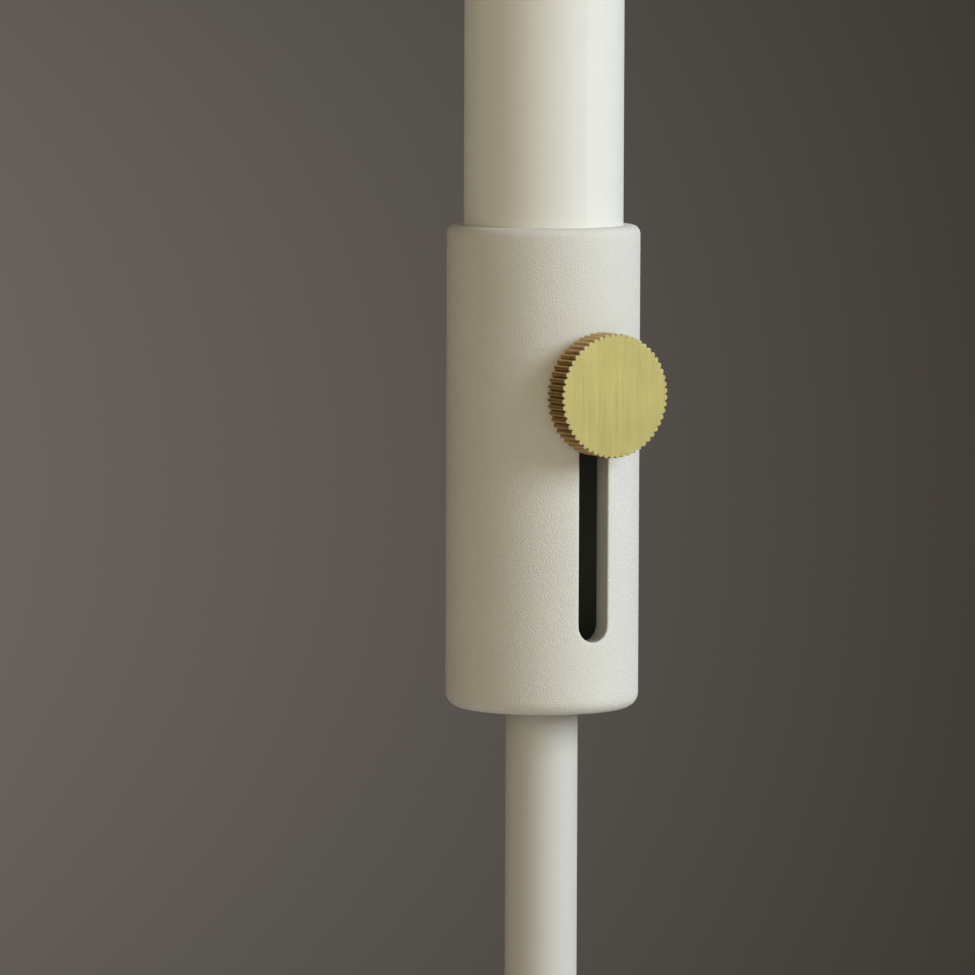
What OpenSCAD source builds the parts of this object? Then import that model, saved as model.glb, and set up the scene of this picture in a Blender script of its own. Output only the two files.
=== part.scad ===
// Arc floor lamp: a weighted round base, a tubular mast with a swivel, a half-circle arc,
// and a slotted height joint at the arc's free end that carries a thin drop rod and a dome shade.
// Millimetres. The origin is on the floor under the mast axis, Z is up, and the arc leans towards +X.

/* [Base] */
// Diameter of the base cover
base_d = 350; // [300:5:420]
// Height of the base from the floor to its top face
base_h = 24; // [20:1:40]
// Thickness of the soft pad under the base
pad_t = 2; // [1:0.5:4]
// Sheet thickness of the spun base cover
cover_t = 1.5; // [1:0.1:3]
// Rounding of the base cover's upper edge
cover_round = 6; // [3:0.5:10]
// Diameter of the collar round the foot of the mast
foot_collar_d = 56; // [46:1:80]
// Height of the foot collar
foot_collar_h = 12; // [8:1:30]
// Height of the cable inlet above the top of the base
inlet_rise = 56; // [50:1:120]

/* [Mast and arc] */
// Outside diameter of the mast and arc tube
tube_d = 33; // [30:0.5:38]
// Wall thickness of the mast and arc tube
tube_wall = 1.5; // [1.2:0.1:2]
// Height of the swivel joint above the floor
swivel_z = 820; // [600:10:1000]
// Height of the joint between the mast and the arc
arc_joint_z = 1580; // [1400:10:1700]
// Height of the arc's centre above the floor
arc_z = 1640; // [1560:10:1800]
// Radius of the arc's centre line, half of the lamp's reach
arc_r = 450; // [350:10:600]
// Height of the brass ring at the swivel
ring_h = 8; // [5:1:14]
// Diameter of the brass ring at the swivel
ring_d = 36; // [34:0.5:44]

/* [Height joint] */
// Length of straight tube between the arc and the slotted sleeve
drop_straight = 70; // [50:5:200]
// Outside diameter of the slotted sleeve
sleeve_d = 40; // [38:0.5:46]
// Length of the slotted sleeve
sleeve_len = 100; // [90:1:140]
// Wall thickness of the slotted sleeve beside the slot
sleeve_wall = 4.5; // [4:0.1:5]
// Width of the slot in the sleeve
slot_w = 7; // [6.5:0.1:9]
// Distance from the sleeve's top face to the slot's upper end
slot_top = 30; // [28:1:40]
// Distance from the slot's lower end to the sleeve's bottom face
slot_bottom = 15; // [14:1:30]
// Outside diameter of the drop rod
rod_d = 15; // [12:0.5:16]
// Length of drop rod that shows under the sleeve when it is raised
rod_show = 120; // [60:5:300]
// Diameter of the thumb screw's knurled head
knob_d = 25.5; // [20:0.5:30]
// Thickness of the thumb screw's knurled head
knob_t = 6; // [4:0.5:12]
// Number of straight knurl teeth round the head
knob_teeth = 56; // [36:2:72]
// Diameter of the thumb screw's stud
stud_d = 6; // [5:0.5:6]

/* [Shade and lamp holder] */
// Diameter of the dome shade at its rim
shade_d = 290; // [220:5:360]
// Sheet thickness of the shade
shade_t = 1.2; // [0.8:0.1:2]
// Outside diameter of the cup above the shade
cup_d = 42; // [41:0.5:60]
// Height of the cup above the shade
cup_h = 50; // [48:1:80]
// Diameter of the bulb
bulb_d = 80; // [60:5:95]
// Diameter of the push button on the cup
button_d = 8.4; // [6:0.2:9]
// How far the push button stands out of its bush
button_out = 4; // [3.5:0.5:6]

/* [Hidden] */
// Which sub-part is drawn
$fn = 96;
eps = 0.01;

// fits
press = 0.02;        // radial gap of a part pressed or glued into its seat
run = 0.05;          // radial gap of a part that slides or turns
free = 0.3;          // gap between parts that pass each other
face_gap = 0.1;      // gap between two faces that turn or slide against each other
joint_gap = 0.5;     // gap between cable lengths where a joint divides them

// base
weight_z = pad_t;
weight_top = base_h - cover_t;
weight_r = base_d/2 - cover_t - 0.1;
pad_r = base_d/2 - 8;
bolt_d = 12;
bolt_head_h = 7.5;
bolt_head_af = 19;
bolt_len = 42;
washer_r = 17;
washer_t = 2.5;
recess_r = 20;
recess_h = 11;
plug_h = 30;
dowel_d = 5;
dowel_share = 0.625;

// mast
tube_r = tube_d/2;
tube_ri = tube_r - tube_wall;
dowel_off = bolt_d/2 + dowel_d/2 + dowel_share*(tube_ri - bolt_d/2 - dowel_d);
mast_z = base_h;
cable_d = 5.6;
inlet_z = base_h + inlet_rise;
inlet_bore = 6.4;
grommet_r = 6;
cable_bend = 9;

// swivel
washer_top = swivel_z + 1.5;
ring_z = washer_top + face_gap;
upper_z = ring_z + ring_h;
spigot_r = tube_ri - press;
spigot_thin_r = tube_ri - 2.05;
spigot_bore_r = 9.5;
spigot_below = 60;
spigot_above = 95;
bush_h = 20;
bush_r = tube_ri - press;
stop_pin_r = 1.5;
stop_z = upper_z + bush_h + 4;
stop_tab_h = 8;
upper_bush_z = upper_z + 58;

// arc joint
joiner_len = 90;
joiner_bore_r = 11;
grub_r = 2.5;
grub_len = 3.2;
grub_socket_r = 1.45;
grub_socket_depth = 1.6;
grub_under = 0.15;
grub_off = 22;
sleeve_grub_at = [140, 220];
reach = 2*arc_r;

// height joint
sleeve_r = sleeve_d/2;
sleeve_ri = sleeve_r - sleeve_wall;
sleeve_top = arc_z - drop_straight;
sleeve_bottom = sleeve_top - sleeve_len;
socket_depth = 22;
socket_r = tube_r + run;
sleeve_top_round = 1.8;
sleeve_bottom_round = 3;
neck_d = stud_d + 0.4;
stud_below_slot_end = neck_d/2 + 0.6;
stud_z = sleeve_top - slot_top - stud_below_slot_end;
slot_low_z = sleeve_bottom + slot_bottom;
slot_high_z = sleeve_top - slot_top;
arc_end_z = sleeve_top - socket_depth;
rod_bush_h = 8;
rod_r = rod_d/2;
rod_ri = rod_r - 1.5;
bar_ri = rod_r - 3;
carriage_r = sleeve_ri - run;
carriage_low = 9;
carriage_high = 10.5;
insert_r = 4.5;
insert_sink = 0.95;
bar_bottom = sleeve_bottom + 2;
carriage_top = stud_z + carriage_high;
joiner_r = rod_ri - press;
joiner_thin_r = bar_ri - press;
rod_joiner_len = 20;

// thumb screw
saddle_r = 9;
saddle_gap = 0.15;
knob_x = sleeve_r + 1.6;
knob_r = knob_d/2;
tooth_depth = 0.75;
knob_bevel = 0.7;
stud_tip_x = rod_r + 1;

// shade and lamp holder
rod_bottom = sleeve_bottom - rod_show;
cup_z = rod_bottom - cup_h;
cup_r = cup_d/2;
cup_t = 1.5;
cup_round = 5;
nipple_r = 5;
holder_r = 18.5;
holder_bore_r = 13.7;
holder_below = 26;
holder_above = 24;
holder_wall_top = 3;
shoulder_r = cup_r - cup_t - 0.05;
shoulder_h = 4;
shade_r = shade_d/2;
shade_land_r = 30;
shade_hole_r = holder_r + 0.2;
shade_centre_z = cup_z - sqrt(shade_r*shade_r - shade_land_r*shade_land_r);
shade_bead_r = 1.6;
shade_ring_r = 25;
shade_ring_h = 6;
cap_r = 13;
cap_h = 24;
cap_z = cup_z - 22;
bulb_r = bulb_d/2;
bulb_neck_r = 12.5;
bulb_centre_z = cap_z - 12 - bulb_r;
bulb_t = 1;
switch_r = 7;
switch_z = rod_bottom - 14;
switch_bush_r = 6;
switch_bush_out = 1.6;
button_r = button_d/2;
button_gap = 0.3;
button_x = cup_r + switch_bush_out + button_out;
switch_back_x = nipple_r + 1.7;
button_in_x = switch_back_x + 4.5;

// colours
cream = [0.85, 0.83, 0.74];
brass = [0.78, 0.66, 0.36];
black = [0.08, 0.08, 0.08];
steel = [0.6, 0.6, 0.62];
iron = [0.25, 0.25, 0.26];
white = [0.95, 0.95, 0.93];

// ring of the given radii standing on the XY plane
module ring(ro, ri, h) {
    difference() {
        cylinder(r = ro, h = h);
        translate([0, 0, -1]) cylinder(r = ri, h = h + 2);
    }
}

// cutter in the plane that rounds the corner at the origin, seen from below and from the left
module corner_cut(r) {
    difference() {
        translate([-r, -r]) square([r + 1, r + 1]);
        translate([-r, -r]) circle(r = r);
    }
}

// solid cylinder along X from x0 to x1
module along_x(x0, x1, r) {
    translate([x0, 0, 0]) rotate([0, 90, 0]) cylinder(r = r, h = x1 - x0);
}

// half ring over the mast and the drop, made from one tube cross-section
module arc_sweep(r_path, r_section, r_bore) {
    rotate([90, 0, 0]) rotate_extrude(angle = 180) translate([r_path, 0]) difference() {
        circle(r = r_section);
        if (r_bore > 0) circle(r = r_bore);
    }
}

// the drop axis
module at_drop() {
    translate([reach, 0, 0]) children();
}

// ---- base ----
module base_pad() {
    color(black) cylinder(r = pad_r, h = pad_t);
}

module base_weight() {
    color(iron) difference() {
        rotate_extrude() difference() {
            translate([0, weight_z]) square([weight_r, weight_top - weight_z]);
            translate([weight_r, weight_top]) corner_cut(cover_round - cover_t);
        }
        translate([0, 0, weight_z - 1]) cylinder(r = recess_r, h = recess_h + 1);
        cylinder(r = bolt_d/2 + 0.5, h = base_h);
        translate([dowel_off, 0, weight_z + recess_h - 1]) cylinder(d = dowel_d, h = base_h);
    }
}

module base_cover() {
    color(cream) difference() {
        rotate_extrude() difference() {
            translate([0, weight_z]) square([base_d/2, base_h - weight_z]);
            translate([base_d/2, base_h]) corner_cut(cover_round);
            difference() {
                translate([0, weight_z - 1]) square([weight_r + 0.1, weight_top - weight_z + 1]);
                translate([weight_r + 0.1, weight_top]) corner_cut(cover_round - cover_t);
            }
        }
        cylinder(r = bolt_d/2 + 0.5, h = base_h + 1);
        translate([dowel_off, 0, weight_top - 1]) cylinder(d = dowel_d, h = cover_t + 2);
    }
}

module mast_bolt() {
    head_z = weight_z + recess_h - washer_t - bolt_head_h;
    color(steel) {
        translate([0, 0, head_z]) cylinder(d = bolt_head_af/cos(30), h = bolt_head_h, $fn = 6);
        translate([0, 0, head_z + bolt_head_h - eps]) cylinder(d = bolt_d, h = bolt_len);
    }
}

module mast_bolt_washer() {
    color(steel) translate([0, 0, weight_z + recess_h - washer_t]) ring(washer_r, bolt_d/2 + 0.3, washer_t);
}

module foot_dowel() {
    color(steel) translate([dowel_off, 0, weight_z + recess_h + 1]) cylinder(d = dowel_d - 2*press, h = 20);
}

module foot_plug() {
    color(steel) difference() {
        translate([0, 0, mast_z]) cylinder(r = spigot_r, h = plug_h);
        translate([0, 0, mast_z - 1]) cylinder(d = bolt_d + 2*press, h = plug_h + 2);
        translate([dowel_off, 0, mast_z - 1]) cylinder(d = dowel_d, h = 12);
    }
}

module foot_collar() {
    color(cream) translate([0, 0, mast_z]) rotate_extrude() difference() {
        translate([tube_r + run, 0]) square([foot_collar_d/2 - tube_r - run, foot_collar_h]);
        translate([foot_collar_d/2, foot_collar_h]) corner_cut(2.5);
    }
}

// rubber inlet bush in the back of the mast, with a rim inside and outside the tube wall
module cable_grommet() {
    color(black) translate([0, 0, inlet_z]) difference() {
        union() {
            along_x(-tube_r - 2.5, -tube_ri + 3, grommet_r);
            intersection() {
                along_x(-tube_r - 2, -tube_r + 4, grommet_r + 2.5);
                difference() {
                    translate([0, 0, -15]) cylinder(r = tube_r + 1.8, h = 30);
                    translate([0, 0, -16]) cylinder(r = tube_r, h = 32);
                }
            }
        }
        along_x(-tube_r - 5, 0, inlet_bore/2);
    }
}

// ---- mast ----
module mast_lower() {
    color(cream) difference() {
        translate([0, 0, mast_z]) ring(tube_r, tube_ri, swivel_z - mast_z);
        translate([0, 0, inlet_z]) along_x(-tube_r - 5, 0, grommet_r + press);
    }
}

// flex from the inlet up to the swivel
module mast_cable() {
    color(white) {
        translate([-cable_bend, 0, inlet_z + cable_bend]) rotate([90, 0, 0])
            rotate([0, 0, -90]) rotate_extrude(angle = 90) translate([cable_bend, 0]) circle(d = cable_d);
        translate([0, 0, inlet_z + cable_bend]) cylinder(d = cable_d, h = swivel_z - inlet_z - cable_bend);
    }
}

// ---- swivel ----
module swivel_spigot() {
    color(steel) difference() {
        union() {
            translate([0, 0, swivel_z - spigot_below]) cylinder(r = spigot_r, h = spigot_below);
            translate([0, 0, swivel_z - eps]) cylinder(r = spigot_thin_r, h = spigot_above + eps);
        }
        translate([0, 0, swivel_z - spigot_below - 1]) cylinder(r = spigot_bore_r, h = spigot_below + spigot_above + 2);
        translate([0, 0, stop_z]) along_x(-tube_ri, 0, stop_pin_r + press);
    }
}

module swivel_stop_pin() {
    color(steel) translate([0, 0, stop_z]) along_x(-tube_ri + 0.8, -spigot_bore_r, stop_pin_r);
}

module swivel_washer() {
    color(black) translate([0, 0, swivel_z]) ring(tube_r - 0.3, spigot_thin_r + run, washer_top - swivel_z);
}

module swivel_ring() {
    color(brass) translate([0, 0, ring_z]) rotate_extrude() difference() {
        translate([spigot_thin_r + free, 0]) square([ring_d/2 - spigot_thin_r - free, ring_h]);
        translate([ring_d/2, ring_h]) corner_cut(0.8);
        translate([ring_d/2, 0]) mirror([0, 1]) corner_cut(0.8);
    }
}

// bush with the tab that the stop pin meets near the end of each half turn
module swivel_bush_lower() {
    color(black) {
        translate([0, 0, upper_z]) ring(bush_r, spigot_thin_r + run, bush_h);
        translate([0, 0, upper_z + bush_h - eps]) intersection() {
            ring(bush_r, spigot_thin_r + run, stop_tab_h);
            translate([0, -1.2, 0]) cube([bush_r + 1, 2.4, stop_tab_h]);
        }
    }
}

module swivel_bush_upper() {
    color(black) translate([0, 0, upper_bush_z]) ring(bush_r, spigot_thin_r + run, bush_h);
}

// ---- upper mast and arc ----
module mast_upper() {
    color(cream) difference() {
        translate([0, 0, upper_z]) ring(tube_r, tube_ri, arc_joint_z - upper_z);
        translate([0, 0, arc_joint_z - grub_off]) along_x(-tube_d, 0, grub_r + press);
    }
}

module arc_joiner() {
    color(steel) difference() {
        translate([0, 0, arc_joint_z - joiner_len/2]) ring(spigot_r, joiner_bore_r, joiner_len);
        for (dz = [-grub_off, grub_off]) translate([0, 0, arc_joint_z + dz]) along_x(-tube_d, 0, grub_r + press);
    }
}

module arc_tube() {
    color(cream) difference() {
        union() {
            translate([0, 0, arc_joint_z]) ring(tube_r, tube_ri, arc_z - arc_joint_z);
            translate([arc_r, 0, arc_z]) arc_sweep(arc_r, tube_r, tube_ri);
            at_drop() translate([0, 0, arc_end_z]) ring(tube_r, tube_ri, arc_z - arc_end_z);
        }
        translate([0, 0, arc_joint_z + grub_off]) along_x(-tube_d, 0, grub_r + press);
    }
}

// flex from the swivel up the mast and round the arc to the top of the drop
module arc_cable() {
    low_z = swivel_z + joint_gap;
    color(white) {
        translate([0, 0, low_z]) cylinder(d = cable_d, h = arc_z - low_z);
        translate([arc_r, 0, arc_z]) arc_sweep(arc_r, cable_d/2, 0);
    }
}

// set screw pointing back along X from its socket face, just under a surface of radius r
module grub(r) {
    translate([r - grub_under, 0, 0]) difference() {
        along_x(-grub_len, 0, grub_r);
        translate([-grub_socket_depth, 0, 0]) rotate([0, 90, 0]) cylinder(r = grub_socket_r, h = grub_len, $fn = 6);
    }
}

// two at the arc joint, two at the sleeve
module grub_screws() {
    color(iron) {
        for (dz = [-grub_off, grub_off]) translate([0, 0, arc_joint_z + dz]) rotate([0, 0, 180]) grub(tube_r);
        for (a = sleeve_grub_at) at_drop() rotate([0, 0, a])
            translate([0, 0, sleeve_top - socket_depth/2]) grub(sleeve_r);
    }
}

// ---- height joint ----
module height_sleeve() {
    color(cream) at_drop() difference() {
        rotate_extrude() difference() {
            translate([0, sleeve_bottom]) square([sleeve_r, sleeve_len]);
            translate([0, sleeve_bottom - 1]) square([sleeve_ri, arc_end_z - sleeve_bottom + 1]);
            translate([0, arc_end_z]) square([socket_r, socket_depth + 1]);
            translate([sleeve_r, sleeve_top]) corner_cut(sleeve_top_round);
            translate([sleeve_r, sleeve_bottom]) mirror([0, 1]) corner_cut(sleeve_bottom_round);
        }
        translate([0, -slot_w/2, slot_low_z + slot_w/2]) cube([sleeve_d, slot_w, slot_high_z - slot_low_z - slot_w]);
        for (z = [slot_low_z + slot_w/2, slot_high_z - slot_w/2])
            translate([0, 0, z]) along_x(0, sleeve_d, slot_w/2);
        for (a = sleeve_grub_at) rotate([0, 0, a])
            translate([0, 0, sleeve_top - socket_depth/2]) along_x(0, sleeve_d, grub_r + press);
    }
}

module rod_bush() {
    color(black) at_drop() translate([0, 0, sleeve_bottom + 0.5])
        ring(sleeve_ri - press, rod_r + run, rod_bush_h);
}

module slide_carriage() {
    color(black) at_drop() difference() {
        translate([0, 0, stud_z - carriage_low]) ring(carriage_r, rod_r + press, carriage_low + carriage_high);
        translate([0, 0, stud_z]) along_x(0, sleeve_r, insert_r + press);
        translate([0, 0, stud_z]) rotate([90, 0, 0]) cylinder(r = 1.5 + press, h = sleeve_d, center = true);
    }
}

// cross pin that locks the carriage to the bar
module carriage_pin() {
    color(steel) at_drop() translate([0, 0, stud_z]) for (s = [-1, 1])
        rotate([0, 0, s*90]) along_x(bar_ri + 0.4, carriage_r - 0.3, 1.5);
}

module thread_insert() {
    color(brass) at_drop() translate([0, 0, stud_z]) difference() {
        along_x(rod_r + 0.5, carriage_r - insert_sink, insert_r);
        along_x(0, sleeve_r, stud_d/2 + run);
    }
}

module slide_bar() {
    color(black) at_drop() difference() {
        translate([0, 0, bar_bottom]) ring(rod_r, bar_ri, carriage_top - bar_bottom);
        translate([0, 0, stud_z]) rotate([90, 0, 0]) cylinder(r = 1.5 + press, h = sleeve_d, center = true);
    }
}

module rod_joiner() {
    color(steel) at_drop() difference() {
        union() {
            translate([0, 0, bar_bottom - rod_joiner_len]) cylinder(r = joiner_r, h = rod_joiner_len);
            translate([0, 0, bar_bottom - eps]) cylinder(r = joiner_thin_r, h = rod_joiner_len);
        }
        translate([0, 0, bar_bottom - rod_joiner_len - 1]) cylinder(r = cable_d/2 + 0.3, h = 2*rod_joiner_len + 2);
    }
}

module drop_rod() {
    color(cream) at_drop() translate([0, 0, rod_bottom]) ring(rod_r, rod_ri, bar_bottom - rod_bottom);
}

// flex from the arc down the bar and the rod to the lamp holder
module drop_cable() {
    low_z = cup_z + holder_above + 0.5;
    color(white) at_drop() translate([0, 0, low_z]) cylinder(d = cable_d, h = arc_z - joint_gap - low_z);
}

// brass pad between the thumb screw and the sleeve, hollowed to the sleeve's curve
module clamp_saddle() {
    color(brass) at_drop() translate([0, 0, stud_z]) difference() {
        along_x(sleeve_r - 3.5, knob_x - face_gap, saddle_r);
        translate([0, 0, -saddle_r - 1]) cylinder(r = sleeve_r + saddle_gap, h = 2*saddle_r + 2);
        along_x(0, knob_x + 1, neck_d/2 + run);
    }
}

module thumbscrew() {
    color(brass) at_drop() translate([knob_x, 0, stud_z]) {
        rotate([0, 90, 0]) intersection() {
            linear_extrude(height = knob_t) polygon([for (i = [0 : 2*knob_teeth - 1])
                let (r = i % 2 == 0 ? knob_r : knob_r - tooth_depth, a = 180*i/knob_teeth)
                [r*cos(a), r*sin(a)]]);
            rotate_extrude() polygon([[0, 0], [knob_r - knob_bevel, 0], [knob_r + 0.1, knob_bevel + 0.1],
                [knob_r + 0.1, knob_t - knob_bevel - 0.1], [knob_r - knob_bevel, knob_t], [0, knob_t]]);
        }
        along_x(-(knob_x - sleeve_ri - 1), eps, neck_d/2);
        along_x(-(knob_x - stud_tip_x), -(knob_x - sleeve_ri - 1) + eps, stud_d/2);
    }
}

// ---- shade and lamp holder ----
module cup_nipple() {
    color(brass) at_drop() difference() {
        union() {
            translate([0, 0, rod_bottom]) cylinder(r = joiner_r, h = 18);
            translate([0, 0, cup_z + holder_above - holder_wall_top - 4]) cylinder(r = nipple_r, h = rod_bottom - cup_z - holder_above + holder_wall_top + 4 + eps);
        }
        translate([0, 0, cup_z]) cylinder(r = cable_d/2 + 0.3, h = cup_h + 40);
    }
}

module cup_nut() {
    color(steel) at_drop() translate([0, 0, rod_bottom - cup_t - 3]) difference() {
        cylinder(d = 14/cos(30), h = 3, $fn = 6);
        translate([0, 0, -1]) cylinder(r = nipple_r + press, h = 5);
    }
}

module shade_cup() {
    color(cream) at_drop() difference() {
        rotate_extrude() difference() {
            translate([0, cup_z]) square([cup_r, cup_h]);
            translate([cup_r, rod_bottom]) corner_cut(cup_round);
            difference() {
                translate([0, cup_z - 1]) square([cup_r - cup_t, cup_h - cup_t + 1]);
                translate([cup_r - cup_t, rod_bottom - cup_t]) corner_cut(cup_round - cup_t);
            }
        }
        translate([0, 0, cup_z]) cylinder(r = nipple_r + press, h = cup_h + 1);
        translate([0, 0, switch_z]) along_x(0, cup_d, switch_bush_r + press);
    }
}

module lampholder() {
    color(black) at_drop() difference() {
        union() {
            translate([0, 0, cup_z - holder_below]) cylinder(r = holder_r, h = holder_below + holder_above);
            translate([0, 0, cup_z]) cylinder(r = shoulder_r, h = shoulder_h);
        }
        translate([0, 0, cup_z - holder_below - 1]) cylinder(r = holder_bore_r, h = holder_below + holder_above - holder_wall_top + 1);
        translate([0, 0, cup_z]) cylinder(r = nipple_r + press, h = holder_above + 1);
    }
}

module shade_ring() {
    color(black) at_drop() translate([0, 0, cup_z - shade_t - shade_ring_h]) rotate_extrude() difference() {
        translate([holder_r + run, 0]) square([shade_ring_r - holder_r - run, shade_ring_h]);
        translate([shade_ring_r, 0]) mirror([0, 1]) corner_cut(1.5);
    }
}

module shade() {
    color(cream) at_drop() translate([0, 0, shade_centre_z]) rotate_extrude() {
        difference() {
            circle(r = shade_r);
            circle(r = shade_r - shade_t);
            translate([-shade_r - 1, -shade_r - 1]) square([2*shade_r + 2, shade_r + 1]);
            translate([-shade_r - 1, -1]) square([shade_r + 1 + shade_land_r - 0.05, shade_r + 2]);
        }
        translate([shade_hole_r, cup_z - shade_centre_z - shade_t])
            square([shade_land_r - shade_hole_r, shade_t]);
        translate([shade_r - shade_t, 0]) circle(r = shade_bead_r, $fn = 32);
    }
}

module bulb_cap() {
    color(brass) at_drop() translate([0, 0, cap_z]) rotate_extrude() difference() {
        square([cap_r, cap_h]);
        translate([cap_r, cap_h]) corner_cut(1);
        translate([-1, -1]) square([cap_r - 0.4 + 1, cap_h]);
    }
}

module bulb_glass() {
    module outline(off) {
        circle(r = bulb_r - off);
        square([bulb_neck_r - off, bulb_r + 20 + off]);
        polygon([[0, 0], [bulb_r*sin(50) - off, bulb_r*cos(50)], [bulb_neck_r - off, bulb_r + 6], [0, bulb_r + 6]]);
    }
    color(white) at_drop() translate([0, 0, bulb_centre_z]) rotate_extrude() difference() {
        outline(0);
        outline(bulb_t);
        translate([-2*bulb_r, -bulb_r - 1]) square([2*bulb_r, 3*bulb_r]);
    }
}

module switch_body() {
    color(black) at_drop() translate([0, 0, switch_z]) difference() {
        union() {
            intersection() {
                along_x(switch_back_x, cup_r, switch_r);
                translate([0, 0, -20]) cylinder(r = cup_r - cup_t - 0.05, h = 40);
            }
            along_x(switch_back_x + 1, cup_r + switch_bush_out, switch_bush_r);
        }
        along_x(button_in_x - 3, cup_d, button_r + button_gap);
    }
}

module switch_button() {
    color(brass) at_drop() translate([0, 0, switch_z]) rotate([0, 90, 0]) rotate_extrude() difference() {
        translate([0, button_in_x]) square([button_r, button_x - button_in_x]);
        translate([button_r, button_x]) corner_cut(0.8);
    }
}

base_pad();
base_weight();
base_cover();
mast_bolt();
mast_bolt_washer();
foot_dowel();
foot_plug();
foot_collar();
cable_grommet();
mast_lower();
mast_cable();
swivel_spigot();
swivel_stop_pin();
swivel_washer();
swivel_ring();
swivel_bush_lower();
swivel_bush_upper();
mast_upper();
arc_joiner();
arc_tube();
arc_cable();
grub_screws();
height_sleeve();
rod_bush();
slide_carriage();
carriage_pin();
thread_insert();
slide_bar();
rod_joiner();
drop_rod();
drop_cable();
clamp_saddle();
thumbscrew();
cup_nipple();
cup_nut();
shade_cup();
lampholder();
shade_ring();
shade();
bulb_cap();
bulb_glass();
switch_body();
switch_button();
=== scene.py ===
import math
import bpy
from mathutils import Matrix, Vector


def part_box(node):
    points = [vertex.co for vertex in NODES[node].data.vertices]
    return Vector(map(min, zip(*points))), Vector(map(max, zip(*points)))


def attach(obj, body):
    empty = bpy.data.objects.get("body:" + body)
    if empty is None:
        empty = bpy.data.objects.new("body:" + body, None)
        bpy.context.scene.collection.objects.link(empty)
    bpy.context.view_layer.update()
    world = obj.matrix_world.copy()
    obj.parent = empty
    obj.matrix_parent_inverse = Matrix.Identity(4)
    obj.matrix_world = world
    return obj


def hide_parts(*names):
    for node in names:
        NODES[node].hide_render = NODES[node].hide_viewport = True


bl_info = {
    "name": "Arc floor lamp",
    "version": (1, 0, 0),
    "blender": (4, 5, 0),
    "location": "View3D > Sidebar > Arc lamp",
    "description": "Builds the visible pieces, the finishes and the studio of an arc floor lamp round its CAD frame",
    "category": "Object",
}

import bmesh
import bpy
from bpy.props import FloatProperty, FloatVectorProperty, IntProperty, PointerProperty
from mathutils import Matrix, Quaternion, Vector

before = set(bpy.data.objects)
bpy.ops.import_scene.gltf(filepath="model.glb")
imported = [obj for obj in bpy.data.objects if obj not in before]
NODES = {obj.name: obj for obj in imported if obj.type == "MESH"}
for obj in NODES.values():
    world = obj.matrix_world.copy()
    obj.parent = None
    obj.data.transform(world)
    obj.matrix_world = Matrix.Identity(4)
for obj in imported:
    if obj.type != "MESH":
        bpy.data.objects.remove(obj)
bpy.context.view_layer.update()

MM = 0.001


# ---------------------------------------------------------------------------
# Where the CAD frame puts things, in metres
# ---------------------------------------------------------------------------

def low(node):
    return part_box(node)[0]


def high(node):
    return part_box(node)[1]


def middle(node):
    lo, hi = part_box(node)
    return (lo + hi) / 2


def width(node):
    return high(node).y - low(node).y


DROP_X = middle("height_sleeve").x
SLEEVE_R = width("height_sleeve") / 2
SLEEVE_LOW = low("height_sleeve").z
SLEEVE_HIGH = high("height_sleeve").z
TUBE_R = width("arc_tube") / 2
STUD_Z = middle("thumbscrew").z
KNOB_R = width("thumbscrew") / 2
KNOB_FACE_X = high("thumbscrew").x
CUP_LOW = low("shade_cup").z
SHADE_R = width("shade") / 2 - 0.4 * MM
SHADE_LOW = low("shade").z

# the CAD model's own fixed measures that no box shows
SLEEVE_WALL = 4.5 * MM
SOCKET_DEPTH = 22 * MM
SOCKET_GAP = 0.05 * MM
SLOT_HALF = 3.5 * MM
SLOT_FROM_TOP = 30 * MM
SLOT_FROM_LOW = 15 * MM
KNOB_THICK = 6 * MM
STUD_NECK_R = 3.2 * MM
STUD_R = 3.0 * MM
STUD_NECK_IN = 5.1 * MM
STUD_TIP_IN = 13.1 * MM
SHADE_WALL = 1.2 * MM
SHADE_LAND_R = 30 * MM
SHADE_HOLE_R = 18.7 * MM

# where the camera stands, and what it is aimed at
CAMERA_AWAY = 1.4508
AIM_UNDER_SLEEVE_TOP = 54.6 * MM
AIM_LEFT_OF_DROP = 11.4 * MM

# each light's turn from the camera and its height in degrees, its distance, width and colour
KEY_TURN, KEY_LIFT, KEY_WIDTH, KEY_COLOUR = 69, 26, 3.0, (0.91, 1.0, 1.06)
FILL_TURN, FILL_LIFT, FILL_WIDTH, FILL_COLOUR = -13, 6, 4.5, (1.0, 0.865, 0.60)
LIGHT_AWAY = 5.0

# the floor's disc, and where it begins and ends to fade
FLOOR_R = 8.0
FLOOR_FADE_FROM, FLOOR_FADE_TO = 4.5, 7.8


# ---------------------------------------------------------------------------
# Settings
# ---------------------------------------------------------------------------

class ArcLampSizes(bpy.types.PropertyGroup):
    sleeve_top_round: FloatProperty(
        name="Sleeve top rounding", description="Radius of the sleeve's upper rim",
        default=1.8 * MM, min=0.2 * MM, max=4 * MM, unit="LENGTH")
    sleeve_low_round: FloatProperty(
        name="Sleeve bottom rounding", description="Radius of the sleeve's lower rim",
        default=3.0 * MM, min=0.2 * MM, max=6 * MM, unit="LENGTH")
    slot_edge_round: FloatProperty(
        name="Slot edge rounding", description="Radius of the painted edge round the slot",
        default=0.35 * MM, min=0.05 * MM, max=1 * MM, unit="LENGTH")
    knurl_depth: FloatProperty(
        name="Knurl depth", description="Depth of the grooves between the thumb screw's teeth",
        default=0.60 * MM, min=0.2 * MM, max=1.5 * MM, unit="LENGTH")
    knurl_teeth: IntProperty(
        name="Knurl teeth", description="Number of teeth round the thumb screw",
        default=56, min=20, max=90)
    knurl_bevel: FloatProperty(
        name="Knurl bevel", description="Bevel at both ends of the thumb screw's teeth",
        default=0.20 * MM, min=0.05 * MM, max=1 * MM, unit="LENGTH")
    shade_bead: FloatProperty(
        name="Shade rim bead", description="Radius of the rolled bead on the shade's rim",
        default=1.6 * MM, min=0.6 * MM, max=1.6 * MM, unit="LENGTH")


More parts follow.
